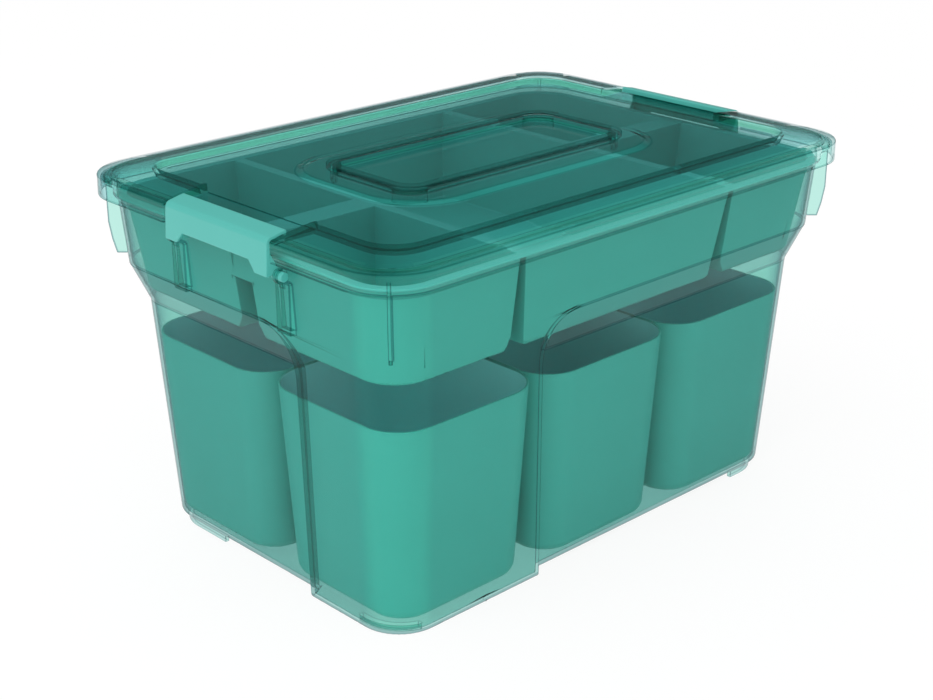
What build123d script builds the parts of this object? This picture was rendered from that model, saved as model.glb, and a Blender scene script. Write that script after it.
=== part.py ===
from build123d import *
from math import radians, sqrt, tan
import os

os.makedirs("parts", exist_ok=True)

# A latching box with a clear tub and lid, a lift-out tray and six sorting cups.
# Millimetres. X runs along the length, Y along the width. Heights are measured from a
# level just above the underside of the tub's floor, and the last lines raise everything,
# so that the box stands on Z = 0 with its feet.

# Overall sizes
length = 411.4
width = 290.0
foot_height = 4.0
floor_low = -2.6
clear_gap = 0.3

# Tub: the outer wall stands in from the lid's edge by an inset that shrinks with height
wall = 2.0
floor_thickness = 2.4
bottom_inset = 22.5
draft = 0.0596
niche_inset = 30.0
shoulder_low = 147.0
shoulder_high = 171.5
ledge_height = 213.4
rim_height = 225.0
rim_inset = 7.2
lip_inset = 3.4
lip_thickness = 2.2
bottom_corner = 29.0
niche_corner = 26.0
band_corner = 33.0
bottom_round = 5.0

# Corner columns, one at each end of a diagonal
column_end_x = 75.0
column_end_y = 50.0
arch_radius = 29.0
slant_x = 1.0
slant_y = 0.6
side_from_x = 190.0
side_from_y = 130.0

# Rounded ridges under the corners of the floor
foot_inset = 32.2
foot_corner = 29.0
foot_reach_x = 40.0
foot_reach_y = 60.0
short_reach_x = 20.0
short_reach_y = 34.0
foot_thickness = 3.0

# Nesting fins on the corners
fin_thickness = 2.2
fin_bottom = 174.3
fin_corner = 33.0
fin_foot = 28.9

# Latch posts and hinge ears on both short sides
post_width = 12.0
post_centre = 49.2
post_face = 8.2
post_bottom = 172.0
post_top = 203.0
pivot_inset = 6.8
pivot_height = 206.5
pin_radius = 2.8
pin_end = 54.0
fit_gap = 0.06
ear_inner = 48.4
ear_thickness = 3.4
ear_radius = 4.4

# Lid
lid_corner = 37.0
lid_wall = 2.0
skirt_bottom = 215.0
skirt_top = 227.4
crease_inset = 9.3
crease_height = 229.8
lid_top = 232.3
recess_inset = 29.4
recess_corner = 22.0
recess_floor = 227.0
recess_run = 2.4
floor_plate = 1.8
channel_half = 50.0
channel_edge = 4.8
channel_floor = 226.4
bead_inset = 9.3
bead_width = 2.0
bead_height = 1.2

# Raised centre of the lid, and the frame that clips into it
plateau_length = 236.0
plateau_width = 133.0
plateau_corner = 44.0
plateau_height = 1.9
plateau_run = 5.0
frame_length = 197.0
frame_width = 86.0
frame_corner = 17.0
frame_wall = 1.5
opening_length = 182.0
opening_width = 71.0
opening_corner = 11.0
leg_bottom = 221.4
leg_span = 15.0

# Latch
latch_half = 47.5
latch_thickness = 2.0
latch_bottom = 206.6
latch_reach = 14.4
lip_bottom = 227.3
boss_radius = 3.1
arm_thickness = 1.8
grip_half_low = 36.5
grip_half_high = 31.0
grip_height = 213.0

# Tray
tray_wall = 1.6
tray_inset = 10.4
tray_corner = 31.0
pocket_edge = 4.5
pocket_bottom = 154.0
pocket_taper = 8.0
pocket_corner = 26.5
pocket_round = 3.0
middle_end = 90.1
middle_foot = 82.9
end_start_x = 94.4
end_start_y = 8.0
chamfer_height = 9.0
chamfer_x = 4.2
chamfer_y = 5.0
web_bottom = 189.0
web_half = 10.0

# Cups
cup_rim = 124.3
cup_pitch_x = 119.4
cup_centre_y = 59.7
cup_length = 118.8
cup_width = 118.9
cup_corner = 24.5
cup_draft = 0.051
cup_wall = 1.6
cup_round = 7.0

half_length = length / 2
half_width = width / 2
ledge_inset = bottom_inset - draft * ledge_height


def panel(height, x_size, y_size, corner):
    """Rounded rectangle lying at a height."""
    return Plane.XY.offset(height) * RectangleRounded(x_size, y_size, corner)


def tiers(levels):
    """Solid through rounded rectangles, each given by height, inset from the lid's edge and corner."""
    return loft([panel(h, length - 2 * i, width - 2 * i, c) for h, i, c in levels], ruled=True)


def block(x_size, y_size, low, high, corner):
    """Upright prism with rounded corners, centred on the box."""
    return extrude(panel(low, x_size, y_size, corner), high - low)


def box_between(x0, x1, y0, y1, z0, z1):
    """Plain block between two corners."""
    return Pos((x0 + x1) / 2, (y0 + y1) / 2, (z0 + z1) / 2) * Box(abs(x1 - x0), abs(y1 - y0), z1 - z0)


def turned(shape):
    """The same shape at the other end of the box, half a turn about Z."""
    return Rot(0, 0, 180) * shape


def wall_inset(height):
    """Inset of the drafted outer wall."""
    return bottom_inset - draft * height


def niche_wall_inset(height):
    """Inset of the lower wall that stands back between the columns."""
    return niche_inset - draft * height * 0.88


def rounded_foot(solid, radius):
    """The solid with its lowest edges rounded."""
    return fillet(solid.faces().sort_by(Axis.Z)[0].edges(), radius)


def arch(edge):
    """Side view of a column: upright to the arch, then curving over into the shoulder."""
    far = -length
    top = shoulder_high
    low = floor_low - 2
    outline = Polyline((edge + arch_radius, top), (far, top), (far, low), (edge, low), (edge, top - arch_radius))
    bend = CenterArc((edge + arch_radius, top - arch_radius), arch_radius, 90, 90)
    return make_face(outline + bend)


def columns(offset, low, rounding):
    """Both full-depth corner columns, up to the shoulder, with slanting sides."""
    back_x = offset * sqrt(1 + slant_x ** 2)
    back_y = offset * sqrt(1 + slant_y ** 2)
    body = tiers([(low, wall_inset(low) + offset, bottom_corner - offset),
                  (shoulder_high, wall_inset(shoulder_high) + offset, band_corner - offset)])
    body = rounded_foot(body, rounding)
    side_x = arch(-column_end_x - back_x + slant_x * side_from_y)
    side_y = arch(-column_end_y - back_y + slant_y * side_from_x)
    along = loft([Pos(slant_x * y, y, 0) * (Plane.XZ * side_x) for y in (-width, 10)], ruled=True)
    across = loft([Pos(x, slant_y * x, 0) * (Plane.YZ * side_y) for x in (-length, 10)], ruled=True)
    corner = body & along & across
    return corner + turned(corner)


def tub_form(offset, low, rounding):
    """Outside of the tub, or its hollow when the offset is the wall."""
    high = shoulder_high
    lower = tiers([(low, niche_wall_inset(low) + offset, niche_corner - offset),
                   (shoulder_low, niche_wall_inset(shoulder_low) + offset, niche_corner + 1 - offset),
                   (high, wall_inset(high) + offset, band_corner - offset),
                   (ledge_height - 1.2, wall_inset(ledge_height - 1.2) + offset, band_corner - 1 - offset)])
    form = rounded_foot(lower, rounding) + columns(offset, low, rounding)
    for side in (-1, 1):
        front = half_length - post_face - offset
        half = post_width / 2 - offset * 0.9
        post = box_between(front - 12, front, side * post_centre - half, side * post_centre + half,
                           post_bottom + offset, post_top - offset)
        form += post + turned(post)
    return form


def rim_form():
    """Wall above the tray's ledge, widened to seat the tray, with the lip that the lid covers."""
    low = ledge_height - 1.2
    form = tiers([(low, wall_inset(low), band_corner - 1),
                  (ledge_height + 1.4, rim_inset + 0.3, band_corner + 0.5),
                  (rim_height, rim_inset, band_corner + 1)])
    lip = tiers([(rim_height - lip_thickness - 2, rim_inset + 0.2, band_corner + 1),
                 (rim_height - lip_thickness, lip_inset, lid_corner - lip_inset),
                 (rim_height, lip_inset, lid_corner - lip_inset)])
    return form + lip


def rim_hollow():
    """Space above the ledge, where the tray's rim lies."""
    inset = ledge_inset + 0.2
    upper = block(length - 2 * inset, width - 2 * inset, ledge_height, rim_height + 5, band_corner - 2)
    lower = block(length - 2 * ledge_inset - 2 * wall, width - 2 * ledge_inset - 2 * wall,
                  ledge_height - 4, ledge_height + 1, band_corner - 1 - wall)
    return upper + lower


def fins():
    """Thin radial fins on the four corners, which keep nested tubs from jamming."""
    outline = Polyline((10, fin_bottom), (fin_foot, fin_bottom), (fin_foot + 2.4, fin_bottom + 9),
                       (fin_corner, fin_bottom + 20), (fin_corner, rim_height - 2), (10, rim_height - 2), close=True)
    blade = extrude(Plane.XZ * make_face(outline), fin_thickness / 2, both=True)
    reach_x = half_length - lid_corner
    reach_y = half_width - lid_corner
    corners = ((1, 1, 45), (-1, 1, 135), (-1, -1, 225), (1, -1, 315))
    return [Pos(sx * reach_x, sy * reach_y, 0) * Rot(0, 0, turn) * blade for sx, sy, turn in corners]


def feet():
    """Curved ridges under the four corners of the floor."""
    long_side = length - 2 * foot_inset
    short_side = width - 2 * foot_inset
    low = floor_low - foot_height
    high = floor_low + floor_thickness
    ring = block(long_side, short_side, low, high - 0.1, foot_corner)
    ring -= block(long_side - 2 * foot_thickness, short_side - 2 * foot_thickness, low - 1,
                  high + 1, foot_corner - foot_thickness)
    for end in (-1, 1):
        for side in (-1, 1):
            under_column = end * side > 0
            from_x = long_side / 2 - (short_reach_x if under_column else foot_reach_x)
            from_y = short_side / 2 - (short_reach_y if under_column else foot_reach_y)
            ring -= box_between(0, end * from_x, side * width, 0, low - 1, high + 1)
            ring -= box_between(end * length, 0, 0, side * from_y, low - 1, high + 1)
    return ring


def hinge_ears():
    """The two bored lugs that carry one latch, at the left end."""
    x = -half_length + pivot_inset
    ears = []
    for side in (-1, 1):
        y = side * (ear_inner + ear_thickness / 2)
        disc = Cylinder(ear_radius, ear_thickness, rotation=(90, 0, 0))
        neck = Pos(5, 0, -2) * Box(10, ear_thickness, 2 * ear_radius)
        brace = Pos(2.5, 0, -4) * Box(5, ear_thickness, 6)
        bore = Cylinder(pin_radius + fit_gap, ear_thickness + 2, rotation=(90, 0, 0))
        ears.append(Pos(x, y, pivot_height) * (disc + neck + brace - bore))
    return ears


def tub():
    """Clear tub: columns on one diagonal, standing-back walls between them, shoulder, ledge and rim."""
    form = tub_form(0, floor_low, bottom_round) + rim_form()
    for fin in fins():
        form += fin
    for ear in hinge_ears():
        form += ear + turned(ear)
    form -= tub_form(wall, floor_low + floor_thickness, bottom_round - wall)
    form -= rim_hollow()
    return form + feet()


def lid_outside():
    """Skirt, sloping border and its crown."""
    return tiers([(skirt_bottom, 0, lid_corner), (skirt_top, 0.15, lid_corner),
                  (crease_height, crease_inset, lid_corner - crease_inset),
                  (lid_top, recess_inset - 0.5, recess_corner)])


def lid_inside():
    """Hollow under the border."""
    return tiers([(skirt_bottom - 1, lid_wall, lid_corner - lid_wall),
                  (skirt_top - lid_wall, lid_wall + 0.1, lid_corner - lid_wall),
                  (crease_height - lid_wall, crease_inset, lid_corner - crease_inset),
                  (lid_top - lid_wall, recess_inset, recess_corner)])


def recess(grow, drop):
    """Sunk panel of the lid, grown and lowered to leave the plate under it."""
    low = recess_floor - drop
    high = lid_top + 1
    run = recess_run * (high - recess_floor) / (lid_top - recess_floor)
    return tiers([(low, recess_inset + recess_run - grow, recess_corner - recess_run + grow),
                  (high, recess_inset + recess_run - run - grow, recess_corner - recess_run + run + grow)])


def plateau(shrink, drop):
    """Low raised centre with sloping sides."""
    long_side = plateau_length - 2 * shrink
    short_side = plateau_width - 2 * shrink
    base = panel(recess_floor - drop - 0.01, long_side, short_side, plateau_corner - shrink)
    top = panel(recess_floor + plateau_height - drop, long_side - 2 * plateau_run, short_side - 2 * plateau_run,
                plateau_corner - plateau_run - shrink)
    return loft([base, top], ruled=True)


def channel(side):
    """Cut through the border at one end, where the latch lies."""
    start = half_length - recess_inset - 3
    cut = box_between(side * start, side * (half_length + 2), -channel_half, channel_half,
                      channel_floor, lid_top + 2)
    front = box_between(side * (half_length - channel_edge), side * (half_length + 2),
                        -channel_half, channel_half, skirt_bottom - 2, recess_floor + 1)
    return cut + front


def channel_plate(side):
    """Floor, end walls and hook bead of one channel."""
    low = recess_floor - floor_plate
    outer = half_length - channel_edge
    inner = half_length - recess_inset - 3.2
    plate = box_between(side * inner, side * outer, -channel_half - lid_wall, channel_half + lid_wall,
                        low, channel_floor)
    for end in (-1, 1):
        y0 = end * channel_half
        y1 = end * (channel_half + lid_wall)
        plate += box_between(side * inner, side * (half_length - 1), y0, y1, low, lid_top)
    crest = half_length - bead_inset
    bead = box_between(side * (crest - bead_width), side * crest, -latch_half + 4, latch_half - 4,
                       channel_floor - 0.5, channel_floor + bead_height)
    return plate + bead


def frame_legs(clearance, low):
    """The four curved corner legs of the frame, or their slots with a clearance."""
    outer_x = frame_length - 5 + 2 * clearance
    outer_y = frame_width - 5 + 2 * clearance
    step = 2 * (frame_wall + 2 * clearance)
    ring = block(outer_x, outer_y, low, recess_floor + plateau_height + 1.6, frame_corner - 2.5 + clearance)
    ring -= block(outer_x - step, outer_y - step, low - 1, lid_top, frame_corner - 2.5 - step / 2 + clearance)
    span = leg_span + clearance
    ring -= box_between(-outer_x / 2 + span, outer_x / 2 - span, -width, width, low - 2, lid_top + 2)
    ring -= box_between(-length, length, -outer_y / 2 + span, outer_y / 2 - span, low - 2, lid_top + 2)
    return ring


def lid():
    """Clear lid: skirt, crowned border, sunk panel, raised centre and two latch channels."""
    rib_inset = rim_inset + 0.3
    rib = block(length - 2 * rib_inset, width - 2 * rib_inset, rim_height + 0.2, skirt_top + 0.6, 29)
    rib -= block(length - 2 * rib_inset - 3, width - 2 * rib_inset - 3, rim_height - 1, skirt_top + 2, 27.5)
    shell = lid_outside() - (lid_inside() - recess(lid_wall, floor_plate)) - recess(0, 0) + rib
    for side in (-1, 1):
        shell = shell - channel(side)
        shell += channel_plate(side) & lid_outside()
    shell += plateau(0, 0)
    shell -= plateau(lid_wall, floor_plate)
    rise = recess_floor - floor_plate
    shell += block(opening_length + 8, opening_width + 8, rise, recess_floor + plateau_height, opening_corner + 4)
    shell -= block(opening_length + 4, opening_width + 4, recess_floor, lid_top, opening_corner + 2)
    return shell - frame_legs(0.25, rise - 2)


def lid_frame():
    """Shallow frame that clips into the raised centre of the lid by four hooked corner legs."""
    low = recess_floor + plateau_height + 0.05
    body = block(frame_length, frame_width, low, lid_top, frame_corner)
    body -= block(opening_length, opening_width, low - 1, lid_top + 1, opening_corner)
    groove = block(frame_length - 2 * frame_wall, frame_width - 2 * frame_wall, low - 1, lid_top - frame_wall,
                   frame_corner - frame_wall)
    groove -= block(opening_length + 2 * frame_wall, opening_width + 2 * frame_wall, low - 2, lid_top,
                    opening_corner + frame_wall)
    body -= groove
    inner = block(opening_length + 3, opening_width + 3, recess_floor + 0.1, low + 1, opening_corner + 1.5)
    inner -= block(opening_length, opening_width, recess_floor - 1, lid_top, opening_corner)
    legs = frame_legs(0, leg_bottom)
    tie = block(frame_length - 4, frame_width - 4, lid_top - 2.2, lid_top - 0.5, frame_corner - 2)
    tie -= block(frame_length - 9, frame_width - 9, lid_top - 3, lid_top, frame_corner - 4.5)
    body += inner + legs + tie
    hook_x = (frame_length - 5) / 2
    hook_y = (frame_width - 5) / 2
    for sx in (-1, 1):
        for sy in (-1, 1):
            across = box_between(sx * (hook_x - leg_span + 0.5), sx * (hook_x - leg_span + 3.5),
                                 sy * (hook_y - 1), sy * (hook_y + 1.1), leg_bottom, leg_bottom + 1.8)
            along = box_between(sx * (hook_x - 1), sx * (hook_x + 1.1), sy * (hook_y - leg_span + 0.5),
                                sy * (hook_y - leg_span + 3.5), leg_bottom, leg_bottom + 1.8)
            body += across + along
    return body


def latch():
    """Latch at the left end: sloping face, top plate over the lid, hooked lip, two arms and pins."""
    x = -half_length
    skin = Polyline((x - 0.7, latch_bottom), (x + 0.5, 225.6), (x + 1.3, 227.7), (x + 3.1, 228.8),
                    (x + latch_reach - 1.0, 230.9), (x + latch_reach, 230.3), (x + latch_reach, lip_bottom),
                    (x + latch_reach - 1.6, lip_bottom), (x + latch_reach - 1.6, 228.7), (x + 3.9, 226.9),
                    (x + 3.0, 226.3), (x + 2.5, 225.2), (x + 1.3, latch_bottom), close=True)
    body = extrude(Plane.XZ * make_face(skin), latch_half, both=True)
    notch = Polyline((-grip_half_low - 1, latch_bottom - 1), (-grip_half_high, grip_height),
                     (grip_half_high, grip_height), (grip_half_low + 1, latch_bottom - 1), close=True)
    body -= Pos(x, 0, 0) * extrude(Plane.YZ * make_face(notch), 6, both=True)
    pivot_x = x + pivot_inset
    arm_line = Polyline((x, latch_bottom + 0.1), (x + 1.2, 225.4), (x + 3.0, 225.4), (x + 3.0, 219.0),
                        (pivot_x + 2.0, pivot_height + 2.2), (pivot_x, latch_bottom + 0.1), close=True)
    for side in (-1, 1):
        y = side * (latch_half - arm_thickness / 2)
        arm = Pos(0, y, 0) * extrude(Plane.XZ * make_face(arm_line), arm_thickness / 2, both=True)
        boss = Pos(pivot_x, y, pivot_height) * Cylinder(boss_radius, arm_thickness, rotation=(90, 0, 0))
        reach = pin_end - latch_half + arm_thickness
        pin = Pos(pivot_x, side * (pin_end - reach / 2), pivot_height)
        pin *= Cylinder(pin_radius, reach, rotation=(90, 0, 0))
        body += arm + boss + pin
    return body


def pocket_block(shrink, low, high):
    """Tapered block that gives all compartments their outer walls."""
    levels = []
    for height in (low, high):
        inset = tray_inset + pocket_edge + (ledge_height + 0.2 - height) * tan(radians(pocket_taper)) + shrink
        levels.append((height, inset, pocket_corner - shrink - 0.3 * (inset - tray_inset - pocket_edge - shrink)))
    return tiers(levels)


def slab(x0, x1, y0, y1, height):
    """Rectangle lying at a height, between two corners."""
    return Pos((x0 + x1) / 2, (y0 + y1) / 2, height) * Rectangle(abs(x1 - x0), abs(y1 - y0))


def middle_pocket(shrink, low, high):
    """Large compartment across the middle."""
    top = ledge_height + 0.2
    levels = []
    for height in (low, high):
        half = middle_end - (middle_end - middle_foot) * (top - height) / (top - pocket_bottom) - shrink
        levels.append(slab(-half, half, -width, width, height))
    return pocket_block(shrink, low, high) & loft(levels, ruled=True)


def end_pocket(shrink, low, high):
    """Compartment in the left front corner, with a chamfer at the foot of its two inner walls."""
    bend = pocket_bottom + chamfer_height + shrink * 0.4
    levels = []
    for height, more in ((low, 1.0), (bend, 0.0), (high, 0.0)):
        levels.append(slab(-length, -end_start_x - more * chamfer_x - shrink,
                           -width, -end_start_y - more * chamfer_y - shrink, height))
    return pocket_block(shrink, low, high) & loft(levels, ruled=True)


def compartments(shrink, low, high):
    """All five compartments, as solid blocks."""
    spaces = [middle_pocket(shrink, low, high)]
    corner = end_pocket(shrink, low, high)
    spaces += [corner, turned(corner), mirror(corner, Plane.XZ), mirror(corner, Plane.YZ)]
    return [rounded_foot(space, pocket_round - shrink) for space in spaces]


def sorting_tray():
    """Lift-out tray: two compartments at each end, one large one between, and a flat rim on the ledge."""
    low = ledge_height + 0.2
    top = low + tray_wall
    body = block(length - 2 * tray_inset, width - 2 * tray_inset, low, top, tray_corner)
    for space in compartments(0, pocket_bottom, low + 0.4):
        body += space
    end_x = half_length - tray_inset - pocket_edge
    for side in (-1, 1):
        body += box_between(side * (end_x - 4.5), side * (end_x - 4.5 + tray_wall), -web_half, web_half,
                            web_bottom, low + 0.5)
    for space in compartments(tray_wall, pocket_bottom + tray_wall, top + 1):
        body -= space
    return body


def cup():
    """Open cup with drafted walls, large corners and a rounded foot, centred on its own axis."""
    low = floor_low + floor_thickness + clear_gap
    rise = cup_rim - low

    def section(height, shrink):
        inset = cup_draft * (cup_rim - height) + shrink
        corner = cup_corner - shrink - 0.3 * (inset - shrink)
        return panel(height, cup_length - 2 * inset, cup_width - 2 * inset, corner)

    outside = rounded_foot(loft([section(low, 0), section(low + rise, 0)], ruled=True), cup_round)
    inside = loft([section(low + cup_wall, cup_wall), section(cup_rim + 1, cup_wall)], ruled=True)
    return outside - rounded_foot(inside, cup_round - cup_wall)


nodes = {
    "tub": tub(),
    "lid": lid(),
    "lid_frame": lid_frame(),
    "latch_left": latch(),
    "latch_right": turned(latch()),
    "sorting_tray": sorting_tray(),
}
columns_x = (("left", -1), ("middle", 0), ("right", 1))
for row, side in (("front", -1), ("back", 1)):
    for place, step in columns_x:
        nodes[f"cup_{row}_{place}"] = Pos(step * cup_pitch_x, side * cup_centre_y, 0) * cup()

for name, shape in nodes.items():
    export_step(Pos(0, 0, foot_height - floor_low) * shape, f"parts/{name}.step")
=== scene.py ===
import bpy
import bmesh
import math
from mathutils import Matrix, Vector
from mathutils.bvhtree import BVHTree


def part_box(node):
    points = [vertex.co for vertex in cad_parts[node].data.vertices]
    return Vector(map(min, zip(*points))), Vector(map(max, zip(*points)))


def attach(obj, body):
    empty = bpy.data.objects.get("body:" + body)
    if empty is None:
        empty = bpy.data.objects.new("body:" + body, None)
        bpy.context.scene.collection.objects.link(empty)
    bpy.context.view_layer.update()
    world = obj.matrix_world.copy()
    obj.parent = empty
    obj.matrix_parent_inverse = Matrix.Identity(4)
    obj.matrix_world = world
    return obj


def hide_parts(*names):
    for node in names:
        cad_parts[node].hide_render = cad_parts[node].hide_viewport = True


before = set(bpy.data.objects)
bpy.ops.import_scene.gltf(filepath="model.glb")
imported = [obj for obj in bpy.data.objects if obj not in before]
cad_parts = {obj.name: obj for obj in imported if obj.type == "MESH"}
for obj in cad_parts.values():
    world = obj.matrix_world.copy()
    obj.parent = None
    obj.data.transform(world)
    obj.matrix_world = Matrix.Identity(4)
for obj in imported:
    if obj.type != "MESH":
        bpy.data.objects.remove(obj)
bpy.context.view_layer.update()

# Camera. It stands off the box's near corner, about half as high again as the lid,
# and looks slightly down, as in the photograph. The frame is 933 by 700 pixels.
camera_data = bpy.data.cameras.new("camera")
camera_data.sensor_width = 36.0
camera_data.lens = 65.22
camera_data.clip_start = 0.05
camera_data.clip_end = 60.0
camera = bpy.data.objects.new("camera", camera_data)
bpy.context.scene.collection.objects.link(camera)
camera.location = (-0.7253, -0.7435, 0.5191)
camera.rotation_euler = Vector((0.6425, 0.6685, -0.3745)).to_track_quat("-Z", "Y").to_euler()
bpy.context.scene.camera = camera

# Studio. A white paper sweep carries the box: seen directly, or through the clear walls,
# it is plain white with the box's soft shadow on it. The sky is soft white, brighter on the
# left and dimmed overhead for light that has passed the plastic; a wide lamp lights the box.
sweep_mesh = bpy.data.meshes.new("sweep")
bm = bmesh.new()
bmesh.ops.create_grid(bm, x_segments=1, y_segments=1, size=12.0)
bm.to_mesh(sweep_mesh)
bm.free()
sweep = bpy.data.objects.new("sweep", sweep_mesh)
bpy.context.scene.collection.objects.link(sweep)

paper = bpy.data.materials.new("white paper")
paper.use_nodes = True
tree = paper.node_tree
tree.nodes.clear()
output = tree.nodes.new("ShaderNodeOutputMaterial")
mixed = tree.nodes.new("ShaderNodeMixShader")
lit = tree.nodes.new("ShaderNodeBsdfDiffuse")
lit.inputs["Color"].default_value = (0.92, 0.92, 0.92, 1)
plain = tree.nodes.new("ShaderNodeEmission")
plain.inputs["Color"].default_value = (1, 1, 1, 1)
plain.inputs["Strength"].default_value = 1.02
path = tree.nodes.new("ShaderNodeLightPath")
seen = tree.nodes.new("ShaderNodeMath")
seen.operation = "MAXIMUM"
share = tree.nodes.new("ShaderNodeMath")
share.operation = "MULTIPLY"
share.inputs[1].default_value = 0.85
seen_any = tree.nodes.new("ShaderNodeMath")
seen_any.operation = "MAXIMUM"
tree.links.new(path.outputs["Is Camera Ray"], seen.inputs[0])
tree.links.new(path.outputs["Is Transmission Ray"], seen.inputs[1])
tree.links.new(seen.outputs[0], seen_any.inputs[0])
tree.links.new(path.outputs["Is Glossy Ray"], seen_any.inputs[1])
tree.links.new(seen_any.outputs[0], share.inputs[0])
tree.links.new(share.outputs[0], mixed.inputs["Fac"])
tree.links.new(lit.outputs[0], mixed.inputs[1])
tree.links.new(plain.outputs[0], mixed.inputs[2])
tree.links.new(mixed.outputs[0], output.inputs["Surface"])
sweep_mesh.materials.append(paper)

world = bpy.data.worlds.new("studio")
world.use_nodes = True
sky = world.node_tree
background = sky.nodes["Background"]
background.inputs["Color"].default_value = (1, 1, 1, 1)
direction = sky.nodes.new("ShaderNodeTexCoord")
parts = sky.nodes.new("ShaderNodeSeparateXYZ")
leftness = sky.nodes.new("ShaderNodeMapRange")
leftness.inputs["From Min"].default_value = -1.0
leftness.inputs["From Max"].default_value = 1.0
leftness.inputs["To Min"].default_value = 1.0
leftness.inputs["To Max"].default_value = 0.8
overhead = sky.nodes.new("ShaderNodeMapRange")
overhead.inputs["From Min"].default_value = 0.05
overhead.inputs["From Max"].default_value = 0.3
overhead.inputs["To Min"].default_value = 1.0
overhead.inputs["To Max"].default_value = 0.1
sky_path = sky.nodes.new("ShaderNodeLightPath")
strength = sky.nodes.new("ShaderNodeMix")
strength.data_type = "FLOAT"
strength.inputs["B"].default_value = 1.0
through = sky.nodes.new("ShaderNodeMix")
through.data_type = "FLOAT"
gloss = sky.nodes.new("ShaderNodeMix")
gloss.data_type = "FLOAT"
gloss.inputs["B"].default_value = 0.12
sky.links.new(direction.outputs["Generated"], parts.inputs[0])
sky.links.new(parts.outputs["X"], leftness.inputs["Value"])
sky.links.new(parts.outputs["Z"], overhead.inputs["Value"])
sky.links.new(leftness.outputs[0], gloss.inputs["A"])
sky.links.new(sky_path.outputs["Is Glossy Ray"], gloss.inputs["Factor"])
sky.links.new(gloss.outputs["Result"], through.inputs["A"])
sky.links.new(overhead.outputs[0], through.inputs["B"])
sky.links.new(sky_path.outputs["Is Transmission Ray"], through.inputs["Factor"])
sky.links.new(through.outputs["Result"], strength.inputs["A"])
sky.links.new(sky_path.outputs["Is Camera Ray"], strength.inputs["Factor"])
sky.links.new(strength.outputs["Result"], background.inputs["Strength"])
bpy.context.scene.world = world

lamp_data = bpy.data.lights.new("soft box", "AREA")
lamp_data.shape = "DISK"
lamp_data.size = 2.0
lamp_data.energy = 18.0
lamp = bpy.data.objects.new("soft box", lamp_data)
bpy.context.scene.collection.objects.link(lamp)
lamp.location = (-1.6, -0.4, 2.2)
lamp.rotation_euler = (Vector((0, 0, 0.1)) - lamp.location).to_track_quat("-Z", "Y").to_euler()
bpy.context.scene.view_settings.view_transform = "Standard"

# Tub. One clear teal injection moulding: drafted walls that stand back between two corner
# columns, a shoulder, and a ledge and rim. The wall darkens where it is seen at a slant. Outer
# creases carry painted dark outlines, the near rim is painted lighter as painted light, the far
# rim is painted darker as painted shade, and the foot's downward faces carry painted shade;
# these painted tints are set for the one camera view.
mould_waves = bpy.data.node_groups.new("mould waves", "ShaderNodeTree")
mould_waves.interface.new_socket("Scale", in_out="INPUT", socket_type="NodeSocketFloat")
mould_waves.interface.new_socket("Low", in_out="INPUT", socket_type="NodeSocketFloat")
mould_waves.interface.new_socket("High", in_out="INPUT", socket_type="NodeSocketFloat")
mould_waves.interface.new_socket("Roughness", in_out="OUTPUT", socket_type="NodeSocketFloat")
mould_waves.interface.new_socket("Height", in_out="OUTPUT", socket_type="NodeSocketFloat")
wave_in = mould_waves.nodes.new("NodeGroupInput")
wave_out = mould_waves.nodes.new("NodeGroupOutput")
wave_place = mould_waves.nodes.new("ShaderNodeTexCoord")
wave_noise = mould_waves.nodes.new("ShaderNodeTexNoise")
wave_noise.inputs["Detail"].default_value = 3.0
wave_range = mould_waves.nodes.new("ShaderNodeMapRange")
mould_waves.links.new(wave_place.outputs["Object"], wave_noise.inputs["Vector"])
mould_waves.links.new(wave_in.outputs["Scale"], wave_noise.inputs["Scale"])
mould_waves.links.new(wave_noise.outputs["Fac"], wave_range.inputs["Value"])
mould_waves.links.new(wave_in.outputs["Low"], wave_range.inputs["To Min"])
mould_waves.links.new(wave_in.outputs["High"], wave_range.inputs["To Max"])
mould_waves.links.new(wave_range.outputs[0], wave_out.inputs["Roughness"])
mould_waves.links.new(wave_noise.outputs["Fac"], wave_out.inputs["Height"])


def clear_plastic(name, face_on, slanted, edge_on, gloss=1.0):
    material = bpy.data.materials.new(name)
    material.use_nodes = True
    nodes = material.node_tree.nodes
    links = material.node_tree.links
    shader = nodes["Principled BSDF"]
    shader.inputs["IOR"].default_value = 1.012
    shader.inputs["Transmission Weight"].default_value = 1.0
    shader.inputs["Coat Weight"].default_value = gloss
    shader.inputs["Coat IOR"].default_value = 1.14
    shader.inputs["Coat Roughness"].default_value = 0.04
    facing = nodes.new("ShaderNodeLayerWeight")
    facing.inputs["Blend"].default_value = 0.5
    ramp = nodes.new("ShaderNodeValToRGB")
    stops = ramp.color_ramp.elements
    stops[0].position = 0.25
    stops[0].color = (*face_on, 1)
    stops[1].position = 0.92
    stops[1].color = (*edge_on, 1)
    stops.new(0.62).color = (*slanted, 1)
    links.new(facing.outputs["Facing"], ramp.inputs["Fac"])
    links.new(ramp.outputs["Color"], shader.inputs["Base Color"])
    waves = nodes.new("ShaderNodeGroup")
    waves.node_tree = mould_waves
    waves.inputs["Scale"].default_value = 40.0
    waves.inputs["Low"].default_value = 0.015
    waves.inputs["High"].default_value = 0.05
    links.new(waves.outputs["Roughness"], shader.inputs["Roughness"])
    return material


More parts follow.
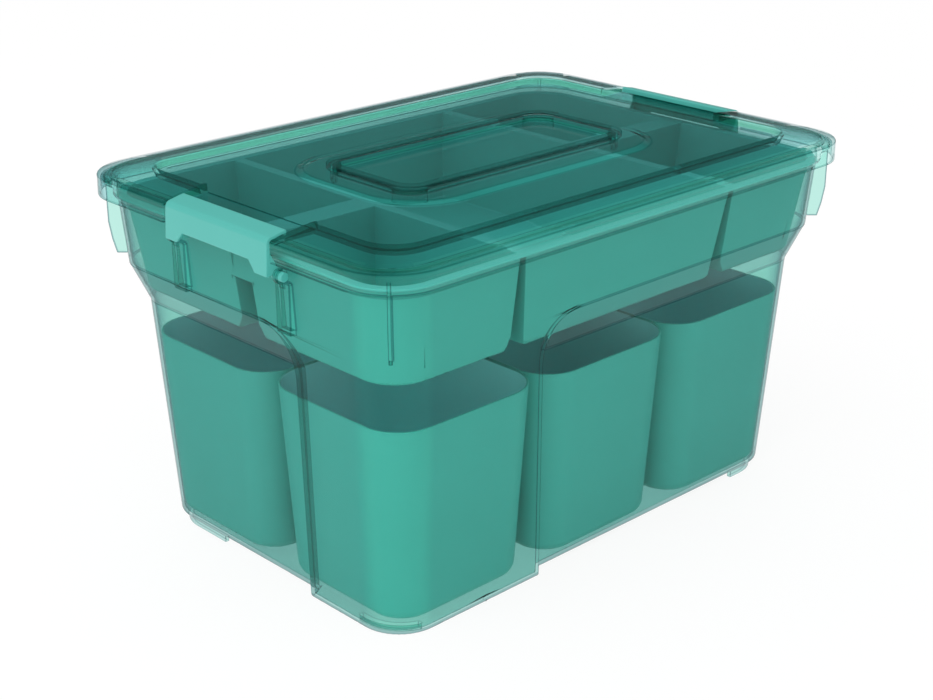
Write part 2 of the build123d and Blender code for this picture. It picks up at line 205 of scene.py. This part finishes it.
def moulding(node, body, finishes_and_painted_light, edge, finish_and_painted_light_at=None):
    """A copy of a CAD shell with rounded creases; the last argument picks each face's material: plain
    plastic, painted dark outlines, painted light or painted shade.
    """
    mesh = bpy.data.meshes.new(node + "_shell")
    bm = bmesh.new()
    bm.from_mesh(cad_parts[node].data)
    bmesh.ops.remove_doubles(bm, verts=bm.verts, dist=2e-6)
    surface = BVHTree.FromBMesh(bm)
    creases = []
    for crease in bm.edges:
        sharpest_kept = 28 if crease.verts[0].co.z < 0.1 else 12
        if crease.calc_face_angle(0.0) > math.radians(sharpest_kept):
            creases.append(crease)
    bent = set(bmesh.ops.bevel(bm, geom=creases, offset=edge, segments=2, profile=0.5,
                               affect="EDGES", material=-1)["faces"])
    # A rounding that overshoots at a short edge is put back on the shell.
    for vert in bm.verts:
        nearest, _, _, gap = surface.find_nearest(vert.co)
        if gap > edge:
            vert.co = nearest
    for face in bm.faces:
        centre, tilt = face.calc_center_median(), face.normal.z
        face.material_index = finish_and_painted_light_at(centre, tilt, face in bent) if finish_and_painted_light_at else 0
    bm.to_mesh(mesh)
    bm.free()
    for shell_material in finishes_and_painted_light:
        mesh.materials.append(shell_material)
    mesh.shade_smooth()
    piece = bpy.data.objects.new(node + "_shell", mesh)
    bpy.context.scene.collection.objects.link(piece)
    if finish_and_painted_light_at:
        piece.visible_shadow = False
        piece.visible_diffuse = False
    flats = piece.modifiers.new("flat panels", "WEIGHTED_NORMAL")
    flats.mode = "FACE_AREA"
    flats.weight = 80
    flats.keep_sharp = True
    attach(piece, body)
    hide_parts(node)


# Painted tints: dark outlines on the bevelled creases, painted light on the near rim, painted shade on the
# far rim and on the foot's downward faces.
tub_finishes_and_painted_light = (
    clear_plastic("clear tub plastic", (0.52, 0.85, 0.77), (0.33, 0.56, 0.55), (0.07, 0.13, 0.14)),
    clear_plastic("clear tub painted dark edges", (0.20, 0.34, 0.35), (0.13, 0.24, 0.25), (0.05, 0.10, 0.11), 0.2),
    clear_plastic("clear tub near rim painted light", (0.83, 0.98, 0.96), (0.74, 0.95, 0.925), (0.24, 0.38, 0.38)),
    clear_plastic("clear tub foot painted shade", (0.26, 0.46, 0.45), (0.18, 0.33, 0.33), (0.06, 0.11, 0.12)),
    clear_plastic("clear tub far rim painted shade", (0.50, 0.84, 0.76), (0.36, 0.66, 0.61), (0.09, 0.17, 0.18)),
)
tub_wall, tub_painted_dark_edge, tub_near_rim_painted_light, tub_foot_painted_shade, tub_far_rim_painted_shade = range(5)
tub_rim_from, tub_foot_shade_to = 0.2195, 0.009


# Picks the clear wall, or a painted tint: near rim painted light, far rim painted shade, downward faces of
# the foot painted shade, bevels painted dark outlines.
def tub_finish_and_painted_light(centre, tilt, bent):
    if centre.z > tub_rim_from:
        return tub_near_rim_painted_light if centre.y < 0 else tub_far_rim_painted_shade
    if centre.z < tub_foot_shade_to and -0.97 < tilt < -0.05:
        return tub_foot_painted_shade
    return tub_painted_dark_edge if bent else tub_wall


moulding("tub", "container", tub_finishes_and_painted_light, 0.0005, tub_finish_and_painted_light)

# Sorting cups. Six open cups stand on the floor, three to a side; each is injection
# moulded in opaque teal plastic, with drafted walls, large corners and a rounded foot.
cup_length, cup_width, cup_height = 0.1188, 0.1189, 0.1242
cup_corner, cup_foot_round, cup_wall = 0.0253, 0.007, 0.0016
cup_draft = 0.051
cup_pitch, cup_row = 0.1194, 0.0597
cup_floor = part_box("cup_front_left")[0].z


def opaque_plastic(name, colour, deep, low_roughness, high_roughness):
    material = bpy.data.materials.new(name)
    material.use_nodes = True
    nodes = material.node_tree.nodes
    links = material.node_tree.links
    shader = nodes["Principled BSDF"]
    waves = nodes.new("ShaderNodeGroup")
    waves.node_tree = mould_waves
    waves.inputs["Scale"].default_value = 26.0
    waves.inputs["Low"].default_value = low_roughness
    waves.inputs["High"].default_value = high_roughness
    links.new(waves.outputs["Roughness"], shader.inputs["Roughness"])
    blend = nodes.new("ShaderNodeMix")
    blend.data_type = "RGBA"
    blend.inputs["A"].default_value = colour
    blend.inputs["B"].default_value = deep
    links.new(waves.outputs["Height"], blend.inputs["Factor"])
    links.new(blend.outputs["Result"], shader.inputs["Base Color"])
    place = nodes.new("ShaderNodeTexCoord")
    grain = nodes.new("ShaderNodeTexNoise")
    grain.inputs["Scale"].default_value = 1400.0
    bump = nodes.new("ShaderNodeBump")
    bump.inputs["Strength"].default_value = 0.01
    bump.inputs["Distance"].default_value = 0.0002
    links.new(place.outputs["Object"], grain.inputs["Vector"])
    links.new(grain.outputs["Fac"], bump.inputs["Height"])
    links.new(bump.outputs["Normal"], shader.inputs["Normal"])
    return material


cup_plastic = opaque_plastic("cup plastic", (0.085, 0.47, 0.42, 1), (0.075, 0.44, 0.39, 1), 0.38, 0.5)
# Inner faces and floors of the cups: painted light, a much lighter copy of the cup plastic.
cup_inside_painted_light = opaque_plastic("cup inside painted light", (0.46, 0.93, 0.96, 1), (0.44, 0.90, 0.93, 1), 0.45, 0.6)
for row, y in (("front", -cup_row), ("back", cup_row)):
    for place, x in (("left", -cup_pitch), ("middle", 0.0), ("right", cup_pitch)):
        bm = bmesh.new()
        size = Matrix.Diagonal((cup_length, cup_width, cup_height, 1))
        middle = cup_floor + cup_height / 2
        bmesh.ops.create_cube(bm, size=1.0, matrix=Matrix.Translation((x, y, middle)) @ size)
        upright = [e for e in bm.edges if abs(e.verts[0].co.z - e.verts[1].co.z) > cup_height / 2]
        bmesh.ops.bevel(bm, geom=upright, offset=cup_corner, segments=14, profile=0.5,
                        affect="EDGES", material=-1)
        foot = [v for v in bm.verts if v.co.z < middle]
        shrink = 2 * cup_draft * cup_height
        taper = Matrix.Diagonal((1 - shrink / cup_length, 1 - shrink / cup_width, 1, 1))
        centre = Matrix.Translation((x, y, 0))
        bmesh.ops.transform(bm, matrix=centre @ taper @ centre.inverted(), verts=foot)
        mouth = [f for f in bm.faces if f.normal.z > 0.9]
        bmesh.ops.delete(bm, geom=mouth, context="FACES_ONLY")
        base = [e for e in bm.edges if all(v.co.z < middle for v in e.verts)]
        bmesh.ops.bevel(bm, geom=base, offset=cup_foot_round, segments=7, profile=0.5,
                        affect="EDGES", material=-1)
        bmesh.ops.recalc_face_normals(bm, faces=bm.faces)
        bmesh.ops.solidify(bm, geom=bm.faces, thickness=cup_wall)
        # Inward faces and the inner floor get the painted light material; the outside keeps the teal
        # plastic.
        for face in bm.faces:
            outward = Vector((face.calc_center_median().x - x, face.calc_center_median().y - y, 0))
            hollow = outward.dot(face.normal) < -0.01 * outward.length
            floor = face.normal.z > 0.5 and face.calc_center_median().z < middle
            face.material_index = 1 if hollow or floor else 0
        name = "cup_" + row + "_" + place
        mesh = bpy.data.meshes.new(name + "_moulding")
        bm.to_mesh(mesh)
        bm.free()
        mesh.materials.append(cup_plastic)
        mesh.materials.append(cup_inside_painted_light)
        mesh.shade_smooth()
        cup = bpy.data.objects.new(name + "_moulding", mesh)
        bpy.context.scene.collection.objects.link(cup)
        rim = cup.modifiers.new("rounded rim", "BEVEL")
        rim.limit_method = "ANGLE"
        rim.angle_limit = math.radians(50)
        rim.width = 0.0006
        rim.segments = 2
        rim.harden_normals = True
        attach(cup, name + "_body")
        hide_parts(name)

# Sorting tray. It hangs in the tub by a flat rim on the ledge: one thin opaque moulding with
# two compartments at each end and a large one between them, and a short web at each end.
tray_plastic = opaque_plastic("tray plastic", (0.085, 0.47, 0.42, 1), (0.075, 0.44, 0.39, 1), 0.38, 0.5)
moulding("sorting_tray", "tray", (tray_plastic,), 0.0005)

# Lid. A clear teal cover with a skirt round the tub's lip, a crowned border, a sunk panel
# and a low raised centre; the border is cut away at both ends, where the latches lie.
# Besides the clear plastic, the lid carries painted tints: dark outlines on its upward and lowest bevels,
# painted light on the near skirt and near slopes, and painted shade on the upright walls above the skirt and
# on the far slopes.
lid_finishes_and_painted_light = (
    clear_plastic("clear lid plastic", (0.72, 0.95, 0.94), (0.375, 0.68, 0.69), (0.06, 0.12, 0.13)),
    clear_plastic("clear lid painted dark edges", (0.34, 0.54, 0.54), (0.24, 0.41, 0.41), (0.06, 0.12, 0.13), 0.2),
    clear_plastic("clear lid near side painted light", (0.82, 0.98, 0.96), (0.68, 0.94, 0.905), (0.18, 0.32, 0.33)),
    clear_plastic("clear lid walls painted shade", (0.29, 0.58, 0.49), (0.21, 0.44, 0.41), (0.05, 0.10, 0.11)),
)
lid_panel, lid_painted_dark_edge, lid_near_side_painted_light, lid_wall_painted_shade = range(4)
skirt_lip_to, skirt_to = 0.2226, 0.2325
slope_from_x, slope_from_y = 0.1966, 0.1359


# Picks the clear panel or a painted tint for each face: painted dark outlines, near-side painted light,
# painted shade on upright walls and far slopes.
def lid_finish_and_painted_light(centre, tilt, bent):
    near = centre.y < 0
    if bent and (tilt > 0.3 or centre.z < skirt_lip_to):
        return lid_painted_dark_edge
    if abs(tilt) < 0.6:
        if centre.z > skirt_to:
            return lid_wall_painted_shade
        return lid_near_side_painted_light if near else lid_panel
    if abs(centre.y) > slope_from_y:
        return lid_near_side_painted_light if near else lid_wall_painted_shade
    if abs(centre.x) > slope_from_x and near:
        return lid_near_side_painted_light
    return lid_panel


moulding("lid", "cover", lid_finishes_and_painted_light, 0.0006, lid_finish_and_painted_light)

# Lid frame. A shallow clear frame pressed into the raised centre of the lid, held by four
# curved corner legs.
# The frame's upper bevels take the lid's painted dark outline material; the rest keeps the frame's own clear
# tint.
frame_finishes_and_painted_light = (
    clear_plastic("clear frame plastic", (0.80, 0.95, 0.94), (0.55, 0.76, 0.75), (0.15, 0.24, 0.25), 0.5),
    lid_finishes_and_painted_light[lid_painted_dark_edge],
)
frame_top_from = 0.2375


# Upper bevels get the painted dark outline; every other face keeps the frame's clear tint.
def frame_finish_and_painted_light(centre, tilt, bent):
    return 1 if bent and centre.z > frame_top_from else 0


moulding("lid_frame", "cover", frame_finishes_and_painted_light, 0.0005, frame_finish_and_painted_light)

# Latches. Each is one opaque moulding in a lighter teal that turns on two pins in the tub's
# ears, with a grip notch in its lower edge and a hooked plate that lies over the lid's end.
latch_plastic = opaque_plastic("latch plastic", (0.085, 0.475, 0.42, 1), (0.078, 0.455, 0.40, 1), 0.36, 0.46)
for side in ("left", "right"):
    moulding("latch_" + side, side + "_latch", (latch_plastic,), 0.0005)
